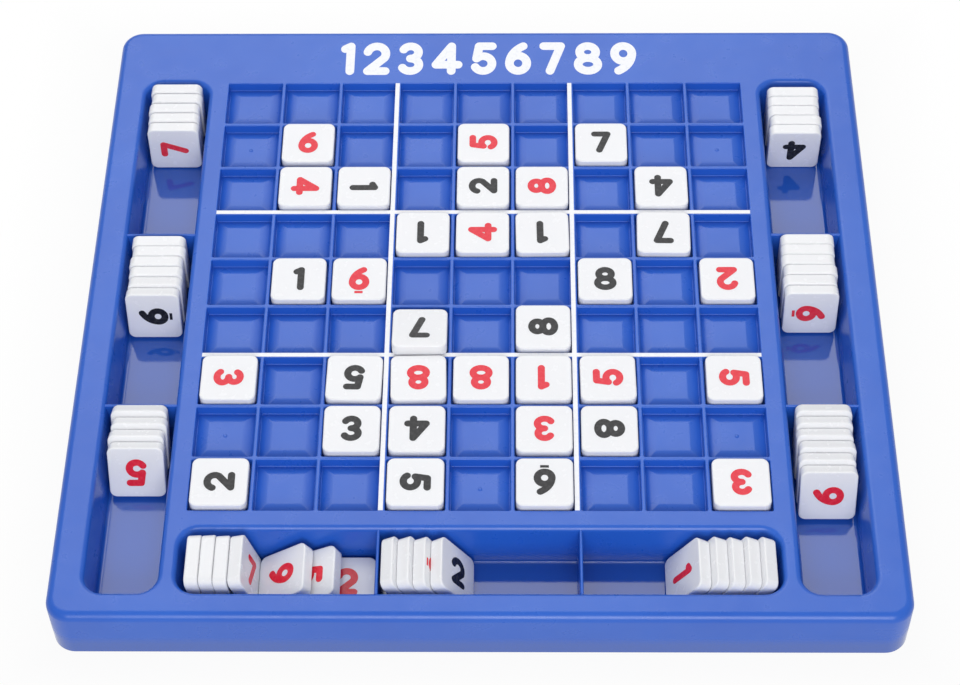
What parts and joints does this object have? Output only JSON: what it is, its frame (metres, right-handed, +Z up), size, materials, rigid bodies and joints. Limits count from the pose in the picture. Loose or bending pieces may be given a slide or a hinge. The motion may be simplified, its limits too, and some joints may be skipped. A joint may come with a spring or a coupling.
{
  "type": "sudoku board",
  "caption": "Moulded number-puzzle board with a square grid of padded cells, ribbed walls, three storage wells with dividers, and loose square tiles that lift out.",
  "frame": {"origin": "centre of the outline, on the surface that the board stands on", "axes": "+X to the player's right, along the longer side; +Y away from the player; +Z up"},
  "size_m": [0.284, 0.2672, 0.0269],
  "materials": {
    "board_plastic": "glossy moulded",
    "tile_plastic": "glossy moulded",
    "line_print": "hot-stamped",
    "red_print": "printed",
    "black_print": "printed"
  },
  "bodies": {
    "board": {"board_shell": "board_plastic", "cell_floor": "board_plastic", "long_ribs": "board_plastic", "cross_ribs": "board_plastic", "left_well": "board_plastic", "right_well": "board_plastic", "front_well": "board_plastic", "box_lines": "line_print"},
    "tile_r2c2": {"tile_r2c2": "tile_plastic"},
    "tile_r2c5": {"tile_r2c5": "tile_plastic"},
    "tile_r2c7": {"tile_r2c7": "tile_plastic"},
    "tile_r3c2": {"tile_r3c2": "tile_plastic"},
    "tile_r3c3": {"tile_r3c3": "tile_plastic"},
    "tile_r3c5": {"tile_r3c5": "tile_plastic"},
    "tile_r3c6": {"tile_r3c6": "tile_plastic"},
    "tile_r3c8": {"tile_r3c8": "tile_plastic"},
    "tile_r4c4": {"tile_r4c4": "tile_plastic"},
    "tile_r4c5": {"tile_r4c5": "tile_plastic"},
    "tile_r4c6": {"tile_r4c6": "tile_plastic"},
    "tile_r4c8": {"tile_r4c8": "tile_plastic"},
    "tile_r5c2": {"tile_r5c2": "tile_plastic"},
    "tile_r5c3": {"tile_r5c3": "tile_plastic"},
    "tile_r5c7": {"tile_r5c7": "tile_plastic"},
    "tile_r5c9": {"tile_r5c9": "tile_plastic"},
    "tile_r6c6": {"tile_r6c6": "tile_plastic"},
    "tile_r7c1": {"tile_r7c1": "tile_plastic"},
    "tile_r7c3": {"tile_r7c3": "tile_plastic"},
    "tile_r7c4": {"tile_r7c4": "tile_plastic"},
    "tile_r7c5": {"tile_r7c5": "tile_plastic"},
    "tile_r7c6": {"tile_r7c6": "tile_plastic"},
    "tile_r7c7": {"tile_r7c7": "tile_plastic"},
    "tile_r7c9": {"tile_r7c9": "tile_plastic"},
    "tile_r8c3": {"tile_r8c3": "tile_plastic"},
    "tile_r8c4": {"tile_r8c4": "tile_plastic"},
    "tile_r8c6": {"tile_r8c6": "tile_plastic"},
    "tile_r8c7": {"tile_r8c7": "tile_plastic"},
    "tile_r9c1": {"tile_r9c1": "tile_plastic"},
    "tile_r9c4": {"tile_r9c4": "tile_plastic"},
    "tile_r9c6": {"tile_r9c6": "tile_plastic"},
    "tile_r9c9": {"tile_r9c9": "tile_plastic"},
    "tile_r6c4": {"tile_r6c4": "tile_plastic"},
    "left_back_tiles": {"left_back_tiles": "tile_plastic"},
    "left_middle_tiles": {"left_middle_tiles": "tile_plastic"},
    "left_front_tiles": {"left_front_tiles": "tile_plastic"},
    "right_back_tiles": {"right_back_tiles": "tile_plastic"},
    "right_middle_tiles": {"right_middle_tiles": "tile_plastic"},
    "right_front_tiles": {"right_front_tiles": "tile_plastic"},
    "front_left_tiles": {"front_left_tiles": "tile_plastic"},
    "front_middle_tiles": {"front_middle_tiles": "tile_plastic"},
    "front_right_tiles": {"front_right_tiles": "tile_plastic"}
  },
  "joints": [
    {"name": "lift_tile_r2c2", "type": "slide", "parent": "board", "child": "tile_r2c2", "axis": [0, 0, 1], "range_m": [0, 0.03]},
    {"name": "lift_tile_r2c5", "type": "slide", "parent": "board", "child": "tile_r2c5", "axis": [0, 0, 1], "range_m": [0, 0.03]},
    {"name": "lift_tile_r2c7", "type": "slide", "parent": "board", "child": "tile_r2c7", "axis": [0, 0, 1], "range_m": [0, 0.03]},
    {"name": "lift_tile_r3c2", "type": "slide", "parent": "board", "child": "tile_r3c2", "axis": [0, 0, 1], "range_m": [0, 0.03]},
    {"name": "lift_tile_r3c3", "type": "slide", "parent": "board", "child": "tile_r3c3", "axis": [0, 0, 1], "range_m": [0, 0.03]},
    {"name": "lift_tile_r3c5", "type": "slide", "parent": "board", "child": "tile_r3c5", "axis": [0, 0, 1], "range_m": [0, 0.03]},
    {"name": "lift_tile_r3c6", "type": "slide", "parent": "board", "child": "tile_r3c6", "axis": [0, 0, 1], "range_m": [0, 0.03]},
    {"name": "lift_tile_r3c8", "type": "slide", "parent": "board", "child": "tile_r3c8", "axis": [0, 0, 1], "range_m": [0, 0.03]},
    {"name": "lift_tile_r4c4", "type": "slide", "parent": "board", "child": "tile_r4c4", "axis": [0, 0, 1], "range_m": [0, 0.03]},
    {"name": "lift_tile_r4c5", "type": "slide", "parent": "board", "child": "tile_r4c5", "axis": [0, 0, 1], "range_m": [0, 0.03]},
    {"name": "lift_tile_r4c6", "type": "slide", "parent": "board", "child": "tile_r4c6", "axis": [0, 0, 1], "range_m": [0, 0.03]},
    {"name": "lift_tile_r4c8", "type": "slide", "parent": "board", "child": "tile_r4c8", "axis": [0, 0, 1], "range_m": [0, 0.03]},
    {"name": "lift_tile_r5c2", "type": "slide", "parent": "board", "child": "tile_r5c2", "axis": [0, 0, 1], "range_m": [0, 0.03]},
    {"name": "lift_tile_r5c3", "type": "slide", "parent": "board", "child": "tile_r5c3", "axis": [0, 0, 1], "range_m": [0, 0.03]},
    {"name": "lift_tile_r5c7", "type": "slide", "parent": "board", "child": "tile_r5c7", "axis": [0, 0, 1], "range_m": [0, 0.03]},
    {"name": "lift_tile_r5c9", "type": "slide", "parent": "board", "child": "tile_r5c9", "axis": [0, 0, 1], "range_m": [0, 0.03]},
    {"name": "lift_tile_r6c6", "type": "slide", "parent": "board", "child": "tile_r6c6", "axis": [0, 0, 1], "range_m": [0, 0.03]},
    {"name": "lift_tile_r7c1", "type": "slide", "parent": "board", "child": "tile_r7c1", "axis": [0, 0, 1], "range_m": [0, 0.03]},
    {"name": "lift_tile_r7c3", "type": "slide", "parent": "board", "child": "tile_r7c3", "axis": [0, 0, 1], "range_m": [0, 0.03]},
    {"name": "lift_tile_r7c4", "type": "slide", "parent": "board", "child": "tile_r7c4", "axis": [0, 0, 1], "range_m": [0, 0.03]},
    {"name": "lift_tile_r7c5", "type": "slide", "parent": "board", "child": "tile_r7c5", "axis": [0, 0, 1], "range_m": [0, 0.03]},
    {"name": "lift_tile_r7c6", "type": "slide", "parent": "board", "child": "tile_r7c6", "axis": [0, 0, 1], "range_m": [0, 0.03]},
    {"name": "lift_tile_r7c7", "type": "slide", "parent": "board", "child": "tile_r7c7", "axis": [0, 0, 1], "range_m": [0, 0.03]},
    {"name": "lift_tile_r7c9", "type": "slide", "parent": "board", "child": "tile_r7c9", "axis": [0, 0, 1], "range_m": [0, 0.03]},
    {"name": "lift_tile_r8c3", "type": "slide", "parent": "board", "child": "tile_r8c3", "axis": [0, 0, 1], "range_m": [0, 0.03]},
    {"name": "lift_tile_r8c4", "type": "slide", "parent": "board", "child": "tile_r8c4", "axis": [0, 0, 1], "range_m": [0, 0.03]},
    {"name": "lift_tile_r8c6", "type": "slide", "parent": "board", "child": "tile_r8c6", "axis": [0, 0, 1], "range_m": [0, 0.03]},
    {"name": "lift_tile_r8c7", "type": "slide", "parent": "board", "child": "tile_r8c7", "axis": [0, 0, 1], "range_m": [0, 0.03]},
    {"name": "lift_tile_r9c1", "type": "slide", "parent": "board", "child": "tile_r9c1", "axis": [0, 0, 1], "range_m": [0, 0.03]},
    {"name": "lift_tile_r9c4", "type": "slide", "parent": "board", "child": "tile_r9c4", "axis": [0, 0, 1], "range_m": [0, 0.03]},
    {"name": "lift_tile_r9c6", "type": "slide", "parent": "board", "child": "tile_r9c6", "axis": [0, 0, 1], "range_m": [0, 0.03]},
    {"name": "lift_tile_r9c9", "type": "slide", "parent": "board", "child": "tile_r9c9", "axis": [0, 0, 1], "range_m": [0, 0.03]},
    {"name": "lift_tile_r6c4", "type": "slide", "parent": "board", "child": "tile_r6c4", "axis": [0, 0, 1], "range_m": [0, 0.03]},
    {"name": "lift_left_back_tiles", "type": "slide", "parent": "board", "child": "left_back_tiles", "axis": [0, 0, 1], "range_m": [0, 0.045]},
    {"name": "lift_left_middle_tiles", "type": "slide", "parent": "board", "child": "left_middle_tiles", "axis": [0, 0, 1], "range_m": [0, 0.045]},
    {"name": "lift_left_front_tiles", "type": "slide", "parent": "board", "child": "left_front_tiles", "axis": [0, 0, 1], "range_m": [0, 0.045]},
    {"name": "lift_right_back_tiles", "type": "slide", "parent": "board", "child": "right_back_tiles", "axis": [0, 0, 1], "range_m": [0, 0.045]},
    {"name": "lift_right_middle_tiles", "type": "slide", "parent": "board", "child": "right_middle_tiles", "axis": [0, 0, 1], "range_m": [0, 0.045]},
    {"name": "lift_right_front_tiles", "type": "slide", "parent": "board", "child": "right_front_tiles", "axis": [0, 0, 1], "range_m": [0, 0.045]},
    {"name": "lift_front_left_tiles", "type": "slide", "parent": "board", "child": "front_left_tiles", "axis": [0, 0, 1], "range_m": [0, 0.045]},
    {"name": "lift_front_middle_tiles", "type": "slide", "parent": "board", "child": "front_middle_tiles", "axis": [0, 0, 1], "range_m": [0, 0.045]},
    {"name": "lift_front_right_tiles", "type": "slide", "parent": "board", "child": "front_right_tiles", "axis": [0, 0, 1], "range_m": [0, 0.045]}
  ]
}
